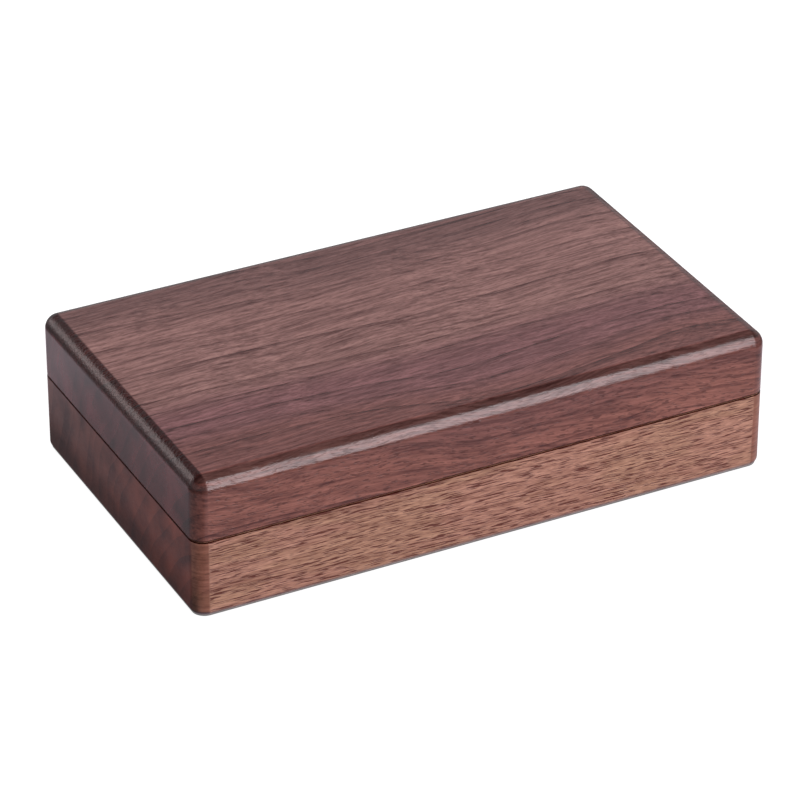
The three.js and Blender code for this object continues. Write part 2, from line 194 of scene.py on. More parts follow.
class Timber:
    """One block of walnut. Each kind below changes what differs from this one."""

    # The heart of the tree in the block's end, and how far it drifts for each metre of length.
    heart_y = -0.085
    heart_z = -0.022
    heart_drift_y = 0.0
    heart_drift_z = 0.05

    # Growth rings, and where they bulge along the length: middle, breadth, height.
    ring_width = 0.0062
    bulges = ()

    # How much each figure darkens the wood, about its middle tone.
    middle_tone = 0.4
    ring_share = 0.16
    line_share = 0.5
    streak_share = 1.5
    fleck_share = 0.9

    # How the grain leans along the length, and how far it sways.
    slope_y = 0.0
    slope_z = 0.0
    sway = 0.01

    # Tints: at the heart, in bands by the distance from it (from, to, tint), and in soft patches.
    heart_tint = white
    bands = ()
    blush = (white, white)

    # The dark marks of the vessels.
    mark_size = (0.004, 0.0005, 0.0005)
    mark_level = 0.58
    pore = colour(58, 28, 26)
    pore_share = 0.4
    fine_pore_share = 0.3
    pore_depth = 0.05 * millimetre

    # Darker tints where a cut leaves the long face. On upright corners and the right end's round-over
    # the tint is partly the deeper tone of cut fibres and partly painted shade; the left end's
    # round-over, the underside and the front's and back's round-overs get painted shade.
    cut_and_painted_shade = colour(190, 170, 168)
    cut_start = 0.4
    left_rolled_painted_shade = colour(122, 76, 72)
    underside_painted_shade = colour(190, 200, 206)
    front_edge_painted_shade = white

    # End grain, and its tint at the front and at the back.
    end_light = colour(130, 66, 70)
    end_dark = colour(46, 14, 18)
    end_front = colour(242, 231, 227)
    end_back = colour(238, 248, 255)

    # The height of the rim in the seam, where a painted shadow darkens the seam, and 1 for a block
    # below it or -1 for one above it. A rim a metre up is none, and leaves the painted shadow out.
    rim = 1.0
    rim_side = 1.0

    roughness = 0.17


class LidTimber(Timber):
    heart_y = -0.115
    heart_z = -0.03
    heart_drift_y = -0.03
    heart_drift_z = 0.0
    ring_width = 0.0072
    bulges = ((0.0, 0.026, 0.0026), (0.082, 0.032, -0.004))
    light = colour(177, 129, 122)
    dark = colour(78, 32, 28)
    middle_tone = 0.44
    streak_share = 1.7
    fleck_share = 0.7
    slope_y = -0.02
    slope_z = 0.09
    heart_tint = colour(254, 222, 204)
    bands = (
        (0.085, 0.097, colour(218, 190, 186)),
        (0.103, 0.112, colour(222, 202, 214)),
        (0.117, 0.131, colour(255, 255, 252)),
        (0.16, 0.18, colour(206, 197, 197)),
    )
    mark_size = (0.0034, 0.00052, 0.00052)
    mark_level = 0.56
    pore = colour(68, 20, 12)
    pore_share = 0.64
    pore_depth = 0.045 * millimetre
    # Painted shade on the front's and back's round-overs.
    front_edge_painted_shade = colour(196, 212, 214)
    rim = lid_corner.z
    rim_side = -1.0


class BaseTimber(Timber):
    light = colour(217, 164, 140)
    dark = colour(108, 54, 32)
    middle_tone = 0.33
    ring_share = 0.12
    line_share = 0.16
    streak_share = 0.9
    fleck_share = 1.25
    slope_z = 0.022
    sway = 0.0015
    blush = (colour(255, 249, 250), colour(252, 252, 245))
    mark_size = (0.006, 0.0004, 0.0004)
    mark_level = 0.53
    pore = colour(92, 30, 10)
    pore_share = 0.95
    fine_pore_share = 0.35
    pore_depth = 0.06 * millimetre
    # The cut fibres' deeper tone together with painted shade on the upright corners.
    cut_and_painted_shade = colour(196, 172, 164)
    cut_start = 1.0
    end_light = colour(156, 88, 74)
    end_dark = colour(74, 26, 22)
    end_front = colour(255, 226, 212)
    end_back = colour(214, 240, 255)
    rim = base_corner.z
    roughness = 0.36


class DividerTimber(Timber):
    heart_y = 0.02
    heart_z = -0.09
    light = colour(150, 108, 90)
    dark = colour(92, 56, 46)
    line_share = 0.25
    roughness = 0.4


# Sizes of the wood's patterns along the length, the depth and the height

ring_wave_size = (0.2, 0.05, 0.05)
ring_ripple_size = (0.035, 0.01, 0.01)
sway_size = (0.055, 0.03, 0.03)
streak_size = (0.034, 0.0012, 0.0012)
fleck_size = (0.004, 0.00046, 0.00046)
cut_fleck_size = (0.02, 0.02, 0.0008)
blush_size = (0.03, 0.007, 0.007)
fine_pore_size = (0.0026, 0.0005, 0.0005)
end_patch_size = (0.02, 0.012, 0.012)
stipple_size = (0.0009, 0.0009, 0.0009)

# How rough the fine noise of streaks and flecks is

figure_roughness = 0.6

# Growth rings: how far they wander, how uneven their widths are, and the dark line that ends each

ring_wave_height = 0.016
ring_ripple_height = 0.0012
ring_unevenness = 1.6
ring_unevenness_size = (1 / 0.45, 1.0, 1.0)
line_sharpness = 9.0
faintest_line = 0.25

# Where each kind of face begins and ends, by the parts of its normal: x is 1 on an end, y on the
# front or back, and z on a level face

cut_range = (0.0, 0.15)
end_range = (0.93, 0.995)
foot_side_range = (0.55, 0.9)
front_edge_range = (0.06, 0.24)
end_edge_range = (0.75, 0.2, 0.3, 1.0)
rolled_range = (0.05, 0.3)
upright_range = (0.4, 0.1)
front_edge_level_range = (0.62, 0.75)
joint_level_range = (0.99, 0.95)
under_range = (-0.02, -0.4)

# Places on the box: the part of its length over which the painted shade on the ends' round-overs
# ends, the height of the painted shade low on its ends, the depth of the seam's painted shadow from
# the rim, and the skin that counts as its outside

left_painted_shade_range = (-0.04, 0.08)
foot_height_range = (18 * millimetre, 1 * millimetre)
joint_depth_range = (0.38 * millimetre, 0.28 * millimetre)
outer_skin = 1.5 * millimetre
# A painted shadow along the seam between lid and base.
seam_painted_shadow = colour(50, 6, 2)

# Vessels: how soft their ends are, how much fewer they are on a level face, and the width of the
# fine ones

mark_softness = 0.1
level_pore_loss = 0.45
finest_pore = 0.08
fine_pore_spread = 0.4
fine_pore_core = 0.4

# Shares of each pattern in the tints, the end grain, the roughness and the relief

blush_range = (0.4, 0.6)
end_base_tone = -0.75
end_patch_share = 2.2
end_ring_share = 0.32
end_fleck_share = 0.5
# How much the painted shade low on the ends darkens them.
foot_painted_shade = 0.67
foot_dulling = 0.4
streak_dulling = 0.2
pore_dulling = 0.1
stipple_height = 2.4
fleck_depth = 0.8
walnut_ior = 1.5


class Cut:
    """How the faces cut the wood, each as a share from 0 to 1."""

    def __init__(self, graph):
        facing = graph.split(graph.node("TexCoord").outputs["Normal"])
        self.across, along_depth, self.level = [graph.math("ABSOLUTE", part) for part in facing]
        self.started = graph.rise(self.across, *cut_range)
        self.end = graph.rise(self.across, *end_range)
        self.rolled = graph.rise(self.level, *rolled_range)
        self.upright = graph.product(self.started, graph.rise(self.level, *upright_range))
        self.end_edge = graph.product(self.started, self.rolled,
                                      graph.rise(along_depth, *end_edge_range))
        self.front_edge = graph.product(graph.rise(along_depth, *front_edge_range),
                                        graph.rise(self.level, *front_edge_level_range))
        self.under = graph.rise(facing[2], *under_range)


def growth_rings(graph, place, timber):
    """How far a point lies from the heart, how far through its ring, and a chance for that ring."""
    x, y, z = graph.split(place)
    from_heart_y = graph.added(graph.math("SUBTRACT", y, timber.heart_y), x, -timber.heart_drift_y)
    from_heart_z = graph.added(graph.math("SUBTRACT", z, timber.heart_z), x, -timber.heart_drift_z)
    radius = graph.vector("LENGTH", graph.joined(0.0, from_heart_y, from_heart_z))
    radius = graph.added(radius, graph.wander(place, ring_wave_size, detail=1.0), ring_wave_height)
    radius = graph.added(radius, graph.wander(place, ring_ripple_size), ring_ripple_height)
    for middle, breadth, height in timber.bulges:
        aside = graph.math("DIVIDE", graph.math("SUBTRACT", x, middle), breadth)
        bulge = graph.math("EXPONENT", graph.product(aside, aside, -1.0))
        radius = graph.added(radius, bulge, height)
    count = graph.math("DIVIDE", radius, timber.ring_width)
    uneven = graph.wander(graph.joined(count), ring_unevenness_size, detail=0.0)
    count = graph.added(count, uneven, ring_unevenness)
    chance = graph.node("TexWhiteNoise", {"W": graph.math("FLOOR", count)}, noise_dimensions="1D")
    return radius, graph.math("FRACT", count), chance.outputs[0]


def leaning_place(graph, place, timber):
    """The place in the wood's own lean, so that the patterns follow its grain."""
    x, y, z = graph.split(place)
    sway = graph.wander(place, sway_size, detail=1.0)
    y = graph.added(graph.added(y, x, timber.slope_y), sway, timber.sway)
    z = graph.added(graph.added(z, x, timber.slope_z), sway, timber.sway)
    return graph.joined(x, y, z)


def long_grain(graph, leaning, rings, streak, grain, timber):
    """The wood's colour on its long faces, without the vessels."""
    radius, phase, chance = rings
    line = graph.math("POWER", phase, line_sharpness)
    line = graph.product(line, graph.added(faintest_line, chance, 1 - faintest_line))
    tone = graph.product(line, timber.line_share)
    tone = graph.added(tone, phase, timber.ring_share)
    tone = graph.added(tone, streak, timber.streak_share)
    tone = graph.added(tone, grain, timber.fleck_share)
    tone = graph.math("ADD", tone, timber.middle_tone - timber.ring_share / 2, clamp=True)
    wood = graph.mix(tone, timber.light, timber.dark)
    tint = timber.heart_tint
    for inner, outer, following in timber.bands:
        tint = graph.mix(graph.rise(radius, inner, outer), tint, following)
    blush = graph.rise(graph.noise(leaning, blush_size), *blush_range)
    return graph.tinted(graph.tinted(wood, tint), graph.mix(blush, *timber.blush))


def vessels(graph, leaning, cut, timber):
    """Where the dark vessels lie along the grain, the long ones and the fine ones."""
    marks = graph.noise(leaning, timber.mark_size, detail=1.0)
    marks = graph.rise(marks, timber.mark_level, timber.mark_level + mark_softness)
    fewer = graph.added(1.0, cut.level, -level_pore_loss)
    marks = graph.product(marks, timber.pore_share, fewer)
    found = graph.cells(leaning, fine_pore_size)
    width = graph.added(finest_pore, graph.split(found["Color"])[0], fine_pore_spread)
    core = graph.product(width, fine_pore_core)
    fine = graph.rise(found["Distance"], core, width, 1.0, 0.0)
    pores = graph.math("MAXIMUM", marks, graph.product(fine, timber.fine_pore_share))
    return graph.product(pores, graph.remainder(cut.upright))


def cut_tone_and_painted_shade(graph, wood, x, cut, timber):
    """Darker where corners and round-overs cut through the fibres: on upright corners partly the
    deeper tone of cut fibres and partly painted shade, and painted shade on the left end's
    round-overs, under the block and on the front's and back's round-overs.
    """
    shade_share = graph.added(timber.cut_start, cut.across, 1 - timber.cut_start)
    shade_share = graph.math("MAXIMUM", graph.product(cut.started, shade_share), cut.end_edge)
    shade = graph.mix(cut.rolled, timber.cut_and_painted_shade, timber.left_rolled_painted_shade)
    # Painted shade: only the left end's round-overs take the darker tint.
    shade = graph.mix(graph.rise(x, *left_painted_shade_range), shade, timber.cut_and_painted_shade)
    wood = graph.tinted(wood, shade, shade_share)
    # Painted shade on the faces that look down.
    wood = graph.tinted(wood, timber.underside_painted_shade, cut.under)
    # Painted shade on the front's and back's round-overs.
    return graph.tinted(wood, timber.front_edge_painted_shade, cut.front_edge)


def end_grain(graph, place, y, phase, fleck, timber):
    patch = graph.added(end_base_tone, graph.noise(place, end_patch_size), end_patch_share)
    tone = graph.added(patch, phase, end_ring_share)
    tone = graph.added(tone, fleck, end_fleck_share, clamp=True)
    wood = graph.mix(tone, timber.end_light, timber.end_dark)
    backward = graph.rise(y, -half_depth, half_depth)
    return graph.tinted(wood, graph.mix(backward, timber.end_front, timber.end_back))


def outer_faces(graph, place):
    """1 on the box's outside, and 0 in its pocket."""
    beyond = graph.vector("SUBTRACT", graph.vector("ABSOLUTE", place), (half_length, half_depth, 0.0))
    x, y = graph.split(beyond)[:2]
    return graph.math("GREATER_THAN", graph.math("MAXIMUM", x, y), -outer_skin)


def walnut(name, timber):
    """Long grain with its vessels, end grain, painted shade on cut edges, undersides and low on the
    ends, and a painted shadow along the seam.
    """
    material, graph, place = new_material(name)
    x, y, z = graph.split(place)
    cut = Cut(graph)
    rings = growth_rings(graph, place, timber)
    leaning = leaning_place(graph, place, timber)
    streak = graph.wander(leaning, streak_size, roughness=figure_roughness)
    fleck = graph.wander(leaning, fleck_size, detail=1.0, roughness=figure_roughness)
    cut_fleck = graph.wander(place, cut_fleck_size, roughness=figure_roughness)
    grain = graph.between(cut.started, fleck, cut_fleck)
    pores = vessels(graph, leaning, cut, timber)

    wood = long_grain(graph, leaning, rings, streak, grain, timber)
    wood = graph.mix(pores, wood, timber.pore)
    wood = cut_tone_and_painted_shade(graph, wood, x, cut, timber)
    wood = graph.mix(cut.end, wood, end_grain(graph, place, y, rings[1], fleck, timber))

    outside = outer_faces(graph, place)
    # Painted shade: the outer ends are darker towards the foot, and rougher there too.
    at_foot = graph.product(graph.rise(z, *foot_height_range),
                            graph.rise(cut.across, *foot_side_range), outside)
    wood = graph.scaled(wood, graph.added(1.0, at_foot, -foot_painted_shade))
    # A painted shadow along the seam, also made metallic so that it shows no pale reflection.
    from_rim = graph.product(graph.math("SUBTRACT", timber.rim, z), timber.rim_side)
    in_seam_shadow = graph.product(graph.rise(from_rim, *joint_depth_range),
                             graph.rise(cut.level, *joint_level_range), outside)
    wood = graph.mix(in_seam_shadow, wood, seam_painted_shadow)

    rough = graph.added(timber.roughness, streak, streak_dulling)
    rough = graph.added(rough, pores, pore_dulling)
    rough = graph.added(rough, at_foot, foot_dulling)
    height = graph.product(graph.wander(place, stipple_size), cut.end_edge, stipple_height)
    height = graph.added(height, pores, -1.0)
    height = graph.added(height, graph.product(fleck, graph.remainder(cut.end)), -fleck_depth)
    graph.principled({
        "Base Color": wood, "Metallic": in_seam_shadow, "Roughness": rough, "IOR": walnut_ior,
        "Normal": graph.bump(height, timber.pore_depth),
    })
    return material


# Metal

metal_patch_size = (0.006, 0.006, 0.006)
metal_patch_range = (0.4, 0.7)
metal_patch_dulling = 0.14
brushing_size = (0.012, 0.00012, 0.00012)
brushing_dulling = 0.12
brushing_depth = 0.006 * millimetre


def metal(name, shine, dull, roughness):
    """Brushed metal that has dulled a little in patches."""
    material, graph, place = new_material(name)
    patches = graph.noise(place, metal_patch_size, detail=3.0)
    brushing = graph.wander(place, brushing_size)
    rough = graph.added(roughness, patches, metal_patch_dulling)
    rough = graph.added(rough, brushing, brushing_dulling)
    graph.principled({
        "Base Color": graph.mix(graph.rise(patches, *metal_patch_range), shine, dull),
        "Metallic": 1.0, "Roughness": rough, "Normal": graph.bump(brushing, brushing_depth),
    })
    return material


# Velvet

velvet_lie_size = (0.034, 0.022, 0.02)
velvet_lie_range = (0.36, 0.66)
velvet_lie_share = 0.22
velvet_tuft_size = (0.00034, 0.00034, 0.00034)
velvet_tuft_range = (0.3, 0.9, 0.0, 0.4)
velvet_tuft_depth = 0.6
velvet_fuzz_size = (0.0009, 0.0009, 0.0009)
velvet_fuzz_range = (0.35, 0.75, 0.0, 0.4)
velvet_fuzz_height = 0.8
velvet_relief = 0.12 * millimetre
velvet_roughness = 0.84
velvet_fuzz_dulling = 0.12
velvet_sheen = colour(236, 222, 204)


def velvet(name, pile, shade, light):
    """Short pile whose lie changes in soft patches, over a fine knit of tufts."""
    material, graph, place = new_material(name)
    lie = graph.noise(place, velvet_lie_size)
    tufts = graph.cells(place, velvet_tuft_size)["Distance"]
    fuzz = graph.noise(place, velvet_fuzz_size, detail=3.0, roughness=0.75)
    cloth = graph.mix(graph.rise(lie, *velvet_lie_range), shade, light)
    cloth = graph.mix(velvet_lie_share, pile, cloth)
    cloth = graph.mix(graph.rise(fuzz, *velvet_fuzz_range), cloth, shade)
    cloth = graph.mix(graph.rise(tufts, *velvet_tuft_range), cloth, shade)
    height = graph.added(graph.product(tufts, -velvet_tuft_depth), fuzz, velvet_fuzz_height)
    graph.principled({
        "Base Color": cloth, "Roughness": graph.added(velvet_roughness, fuzz, velvet_fuzz_dulling),
        "Normal": graph.bump(height, velvet_relief), "Specular IOR Level": 0.2,
        "Sheen Weight": 0.55, "Sheen Roughness": 0.45, "Sheen Tint": velvet_sheen,
    })
    return material


finishes = {
    "walnut_lid": walnut("lacquered_walnut", LidTimber),
    "walnut_base": walnut("satin_walnut", BaseTimber),
    "walnut_dividers": walnut("oiled_walnut", DividerTimber),
    "brass": metal("worn_brass", shine=colour(208, 184, 138), dull=colour(160, 134, 94), roughness=0.26),
    "magnet": metal("nickel", shine=colour(196, 194, 188), dull=colour(150, 148, 144), roughness=0.22),
    "velvet": velvet("greige_velvet", pile=colour(186, 168, 148), shade=colour(150, 132, 114),
                     light=colour(200, 182, 162)),
}


# Edges of the rigid pieces

edge_widths = {
    "walnut_lid": 0.12 * millimetre,
    "walnut_base": 0.12 * millimetre,
    "walnut_dividers": 0.25 * millimetre,
    "brass": 0.1 * millimetre,
    "magnet": 0.1 * millimetre,
}
edge_segments = 2
sharp_edge = math.radians(32)
large_face_weight = 80
merge_distance = 0.002 * millimetre


def smoothing_group():
    """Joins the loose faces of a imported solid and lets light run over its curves."""
    group = bpy.data.node_groups.new("joined_smooth_faces", "GeometryNodeTree")
    group.interface.new_socket("Geometry", in_out="INPUT", socket_type="NodeSocketGeometry")
    group.interface.new_socket("Geometry", in_out="OUTPUT", socket_type="NodeSocketGeometry")
    begin = group.nodes.new("NodeGroupInput")
    forget = group.nodes.new("GeometryNodeRemoveAttribute")
    forget.inputs["Name"].default_value = "custom_normal"
    merge = group.nodes.new("GeometryNodeMergeByDistance")
    merge.inputs["Distance"].default_value = merge_distance
    smooth = group.nodes.new("GeometryNodeSetShadeSmooth")
    end = group.nodes.new("NodeGroupOutput")
    steps = (begin, forget, merge, smooth, end)
    for before, after in zip(steps, steps[1:]):
        group.links.new(before.outputs[0], after.inputs[0])
    return group


smoothing = smoothing_group()


def soften_edges(piece, width):
    piece.modifiers.new("smooth", "NODES").node_group = smoothing
    bevel = piece.modifiers.new("edges", "BEVEL")
    bevel.width = width
    bevel.segments = edge_segments
    bevel.limit_method = "ANGLE"
    bevel.angle_limit = sharp_edge
    bevel.miter_outer = "MITER_ARC"
    weighted = piece.modifiers.new("normals", "WEIGHTED_NORMAL")
    weighted.keep_sharp = False
    weighted.weight = large_face_weight


def finish_node(piece):
    slot = piece.data.materials[0].name
    piece.material_slots[0].material = finishes[slot]
    if slot in edge_widths:
        soften_edges(piece, edge_widths[slot])


# Pieces in velvet

def new_piece(name, body, slot, mesh):
    piece = bpy.data.objects.new(name, mesh)
    bpy.context.scene.collection.objects.link(piece)
    mesh.materials.append(finishes[slot])
    for face in mesh.polygons:
        face.use_smooth = True
    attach(piece, body)
    return piece


def mesh_of_rings(name, rings, closed=True):
    """A skin through rings that hold the same number of points each, with its ends closed or open."""
    made = bmesh.new()
    rows = [[made.verts.new(point) for point in ring] for ring in rings]
    for before, after in zip(rows, rows[1:]):
        for turn, corner in enumerate(before):
            following = (turn + 1) % len(before)
            made.faces.new((corner, before[following], after[following], after[turn]))
    if closed:
        made.faces.new(rows[0][::-1])
        made.faces.new(rows[-1])
    bmesh.ops.recalc_face_normals(made, faces=made.faces)
    mesh = bpy.data.meshes.new(name)
    made.to_mesh(mesh)
    made.free()
    return mesh


def evaluated_copy(piece):
    depsgraph = bpy.context.evaluated_depsgraph_get()
    return bpy.data.meshes.new_from_object(piece.evaluated_get(depsgraph), depsgraph=depsgraph)


# Stuffing, worked out at a larger scale because cloth keeps its shape better there

cloth_scale = 20.0
cloth_frames = 20
cloth_quality = 6
cloth_mass = 0.3
cloth_stretch_stiffness = 12
cloth_bending_stiffness = 0.6


def add_cloth(cover, resting, pressure, held_above):
    """Lets pressure blow the cover up. What rests above the height held_above stays in place."""
    cloth = cover.modifiers.new("cloth", "CLOTH")
    cloth.point_cache.frame_start = 1
    cloth.point_cache.frame_end = cloth_frames
    cloth.settings.quality = cloth_quality
    cloth.settings.mass = cloth_mass
    cloth.settings.tension_stiffness = cloth_stretch_stiffness
    cloth.settings.compression_stiffness = cloth_stretch_stiffness
    cloth.settings.bending_stiffness = cloth_bending_stiffness
    cloth.settings.use_pressure = True
    cloth.settings.uniform_pressure_force = pressure
    cloth.settings.effector_weights.gravity = 0
    if held_above is not None:
        group = cover.vertex_groups.new(name="held")
        held = [n for n, place in enumerate(resting) if place.z > held_above * cloth_scale]
        group.add(held, 1.0, "REPLACE")
        cloth.settings.vertex_group_mass = "held"


def blow_up(cover, pressure, most, held_above):
    """Moves the cover's points to where the stuffing pushes them, by no more than most."""
    scene = bpy.context.scene
    resting = [vertex.co.copy() for vertex in cover.data.vertices]
    add_cloth(cover, resting, pressure, held_above)
    for step in range(1, cloth_frames + 1):
        scene.frame_set(step)
    blown = evaluated_copy(cover)
    cover.modifiers.clear()
    scene.frame_set(1)
    for vertex, place, after in zip(cover.data.vertices, resting, blown.vertices):
        move = after.co - place
        if move.length > most * cloth_scale:
            move = move.normalized() * most * cloth_scale
        vertex.co = place + move


def stuffed(mesh, voxel, pressure, most, held_above=None, evening=0):
    """The mesh as a cover blown up by its filling, and smoothed as often as evening says."""
    mesh.transform(Matrix.Scale(cloth_scale, 4))
    cover = bpy.data.objects.new("cover", mesh)
    bpy.context.scene.collection.objects.link(cover)
    remesh = cover.modifiers.new("remesh", "REMESH")
    remesh.mode = "VOXEL"
    remesh.voxel_size = voxel * cloth_scale
    cover.data = evaluated_copy(cover)
    cover.modifiers.clear()
    blow_up(cover, pressure, most, held_above)
    cover.modifiers.new("even", "SMOOTH").iterations = evening
    cover.modifiers.new("finer", "SUBSURF").levels = 1
    puffed = evaluated_copy(cover)
    puffed.transform(Matrix.Scale(1 / cloth_scale, 4))
    bpy.data.objects.remove(cover)
    return puffed


def kept_within(mesh, low, high):
    for vertex in mesh.vertices:
        vertex.co = Vector(min(max(at, least), most) for at, least, most in zip(vertex.co, low, high))


# Ring rolls: a stuffed sleeve gathered at both ends, pressed flat where it meets its neighbours

roll_sides = 40
roll_rings = 30
roll_slack = 0.9 * millimetre
roll_end = 3 * millimetre
roll_end_taper = 0.8
roll_voxel = 1.7 * millimetre
roll_pressure = 5.0
roll_swelling = 1.3 * millimetre
roll_turn = 77
crease_count = 15
crease_depth = 0.22 * millimetre
crease_reach = 7 * millimetre
crease_drift = 2.5
rumple_size = 6 * millimetre
rumple_depth = 0.3 * millimetre
rumple_step = 3.7
rumple_end_step = 5.0


def bare_roll(half, radius):
    rings = []
    for step in range(roll_rings + 1):
        x = half * math.sin((step / roll_rings - 0.5) * math.pi)
        into_end = max(0.0, abs(x) - (half - roll_end)) / roll_end
        girth = radius * math.sqrt(max(0.0, 1 - roll_end_taper * into_end ** 2))
        turns = [turn / roll_sides * 2 * math.pi for turn in range(roll_sides)]
        rings.append([(x, girth * math.cos(angle), girth * math.sin(angle)) for angle in turns])
    return mesh_of_rings("roll", rings)


def rumpled(place, half, number):
    """The place moved in or out by the gathers at the ends and the softness of the stuffing."""
    angle = math.atan2(place.z, place.y)
    outward = Vector((0, math.cos(angle), math.sin(angle)))
    from_end = half - abs(place.x)
    offset = Vector((number * rumple_step, 0, math.copysign(rumple_end_step, place.x)))
    drift = noise.noise(place / rumple_size + offset)
    gather = math.sin(angle * crease_count + crease_drift * drift + number)
    gather *= max(0.0, 1 - from_end / crease_reach) ** 2
    return place + outward * (gather * crease_depth + drift * rumple_depth)


def make_rolls():
    numbers = range(1, 1 + sum(name.startswith("ring_roll_") for name in nodes))
    low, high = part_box("ring_roll_1")
    half = (high.x - low.x) / 2
    radius = (high.z - low.z) / 2
    bare = bare_roll(half - roll_slack, radius - roll_slack)
    plain = stuffed(bare, roll_voxel, roll_pressure, roll_swelling)
    for number in numbers:
        node = f"ring_roll_{number}"
        low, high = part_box(node)
        mesh = plain.copy()
        mesh.transform(Matrix.Rotation(math.radians(roll_turn * number), 4, "X"))
        for vertex in mesh.vertices:
            vertex.co = rumpled(vertex.co, half, number)
        mesh.transform(Matrix.Translation((low + high) / 2))
        kept_within(mesh, low, high)
        piece = new_piece(f"velvet_roll_{number}", "base", "velvet", mesh)
        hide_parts(node)


# Lid pad: a thin cushion glued to the lid's roof, with a piping round its edge

pad_slack = 1.0 * millimetre
pad_edge = 2.2 * millimetre
pad_corner = 3.5 * millimetre
pad_edge_steps = 8
pad_voxel = 2.6 * millimetre
pad_pressure = 3.0
pad_swelling = 1.4 * millimetre
pad_held_strip = 1.2 * millimetre
pad_evening = 4
pad_drift_size = 14 * millimetre
pad_drift = 0.25 * millimetre
piping_radius = 0.9 * millimetre
piping_below_roof = 1.4 * millimetre
piping_sides = 10
piping_weld = 0.001 * millimetre
loop_corner_steps = 6
least_loop_corner = 0.3 * millimetre


def rounded_loop(low, high, inset, radius, level):
    """Points round a rectangle with rounded corners, at one height."""
    radius = max(radius - inset, least_loop_corner)
    points = []
    corners = ((high.x, high.y, 0), (low.x, high.y, 1), (low.x, low.y, 2), (high.x, low.y, 3))
    for x, y, quarter in corners:
        inward_x = math.copysign(inset + radius, x - (low.x + high.x) / 2)
        inward_y = math.copysign(inset + radius, y - (low.y + high.y) / 2)
        for step in range(loop_corner_steps + 1):
            angle = (quarter + step / loop_corner_steps) * math.pi / 2
            points.append((x - inward_x + radius * math.cos(angle),
                           y - inward_y + radius * math.sin(angle), level))
    return points


def bare_pad(low, high):
    """A plain cushion: its roof's outline, and then its rounded edge from top to bottom."""
    rings = [rounded_loop(low, high, pad_slack + pad_edge, pad_corner, high.z)]
    for step in range(pad_edge_steps + 1):
        angle = step / pad_edge_steps * math.pi
        reach = pad_slack + pad_edge * (1 - math.sin(angle))
        level = (low.z + high.z) / 2 + (high.z - low.z - pad_slack) / 2 * math.cos(angle)
        rings.append(rounded_loop(low, high, reach, pad_corner, level))
    return mesh_of_rings("pad", rings)


def make_lid_pad():
    low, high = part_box("lid_pad")
    mesh = stuffed(bare_pad(low, high), pad_voxel, pad_pressure, pad_swelling,
                   held_above=high.z - pad_held_strip, evening=pad_evening)
    for vertex in mesh.vertices:
        vertex.co.z += noise.noise(vertex.co / pad_drift_size) * pad_drift
    kept_within(mesh, low, high)
    piece = new_piece("velvet_lid_pad", "lid", "velvet", mesh)
    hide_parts("lid_pad")
    make_piping(low, high)


def make_piping(low, high):
    path = rounded_loop(low, high, piping_radius, pad_corner, high.z - piping_below_roof)
    path = [Vector(point) for point in path]
    turns = [turn / piping_sides * 2 * math.pi for turn in range(piping_sides)]
    rings = []
    for number, place in enumerate(path):
        ahead = path[(number + 1) % len(path)]
        behind = path[number - 1]
        forward = (ahead - behind).normalized()
        aside = Vector((forward.y, -forward.x, 0))
        rings.append([place + (aside * math.cos(angle) + Vector((0, 0, math.sin(angle)))) * piping_radius
                      for angle in turns])
    mesh = mesh_of_rings("velvet_pad_piping", rings + rings[:1], closed=False)
    weld = bmesh.new()
    weld.from_mesh(mesh)
    bmesh.ops.remove_doubles(weld, verts=weld.verts, dist=piping_weld)
    weld.to_mesh(mesh)
    weld.free()
    new_piece("velvet_pad_piping", "lid", "velvet", mesh)


# Linings: trays of card covered in velvet, soft at every corner

lining_thickness = 1.5 * millimetre
lining_corner = 3.8 * millimetre
lining_fillet = 1.6 * millimetre
lining_rim_steps = 8
lining_fillet_steps = 6
lining_floor_shares = (0.12, 0.2, 0.3, 0.42, 0.55, 0.7, 0.85, 0.96)


def lining_mesh(name, low, high, opens_up):
    """A tray whose skin runs up the outside, over the rolled rim and down to the padded floor."""
    floor = low.z if opens_up else high.z
    up = 1 if opens_up else -1
    rim = lining_thickness / 2
    wall = high.z - low.z - rim
    profile = [(0.0, 0.0), (0.0, wall)]
    for step in range(1, lining_rim_steps):
        angle = step / lining_rim_steps * math.pi
        profile.append((rim - rim * math.cos(angle), wall + rim * math.sin(angle)))
    profile.append((lining_thickness, wall))
    profile.append((lining_thickness, (high.z - low.z + lining_fillet) / 2))
    for step in range(lining_fillet_steps + 1):
        angle = step / lining_fillet_steps * math.pi / 2
        profile.append((lining_thickness + lining_fillet * (1 - math.cos(angle)),
                        lining_thickness + lining_fillet * (1 - math.sin(angle))))
    breadth = (high.y - low.y) / 2
    for share in lining_floor_shares:
        profile.append((breadth * share, lining_thickness))
    rings = [rounded_loop(low, high, inset, lining_corner, floor + up * rise) for inset, rise in profile]
    return mesh_of_rings(name, rings)


def make_linings():
    for node, body, opens_up in (("base_liner", "base", True), ("lid_liner", "lid", False)):
        low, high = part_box(node)
        name = f"velvet_{body}_lining"
        piece = new_piece(name, body, "velvet", lining_mesh(name, low, high, opens_up))
        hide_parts(node)


# Floor: white to the camera but for a thin line of contact shadow under the box, and dim beside
# the box in reflections, most of all at its left

floor_reach = 12.0
floor_drop = 0.05 * millimetre
floor_paper = (0.32, 0.32, 0.32, 1.0)
floor_mirrored_tint = (1.0, 0.81, 0.92, 1.0)
contact_range = (-0.73 * millimetre, -0.64 * millimetre, 0.1, 0.93)
front_gleam = 0.6
left_gleam_range = (0.004, 0.06, 0.12, 0.48)
left_gleam_by_depth = (-half_depth, half_depth, 0.5, 1.0)
left_side_range = (-half_length, -half_length - 8 * millimetre)
gleam_end_range = (0.11, 0.08)
foot_gleam_range = (3 * millimetre, 1.5 * millimetre)
foot_gleam_side_range = (-half_length - 0.5 * millimetre, -half_length + 3 * millimetre)


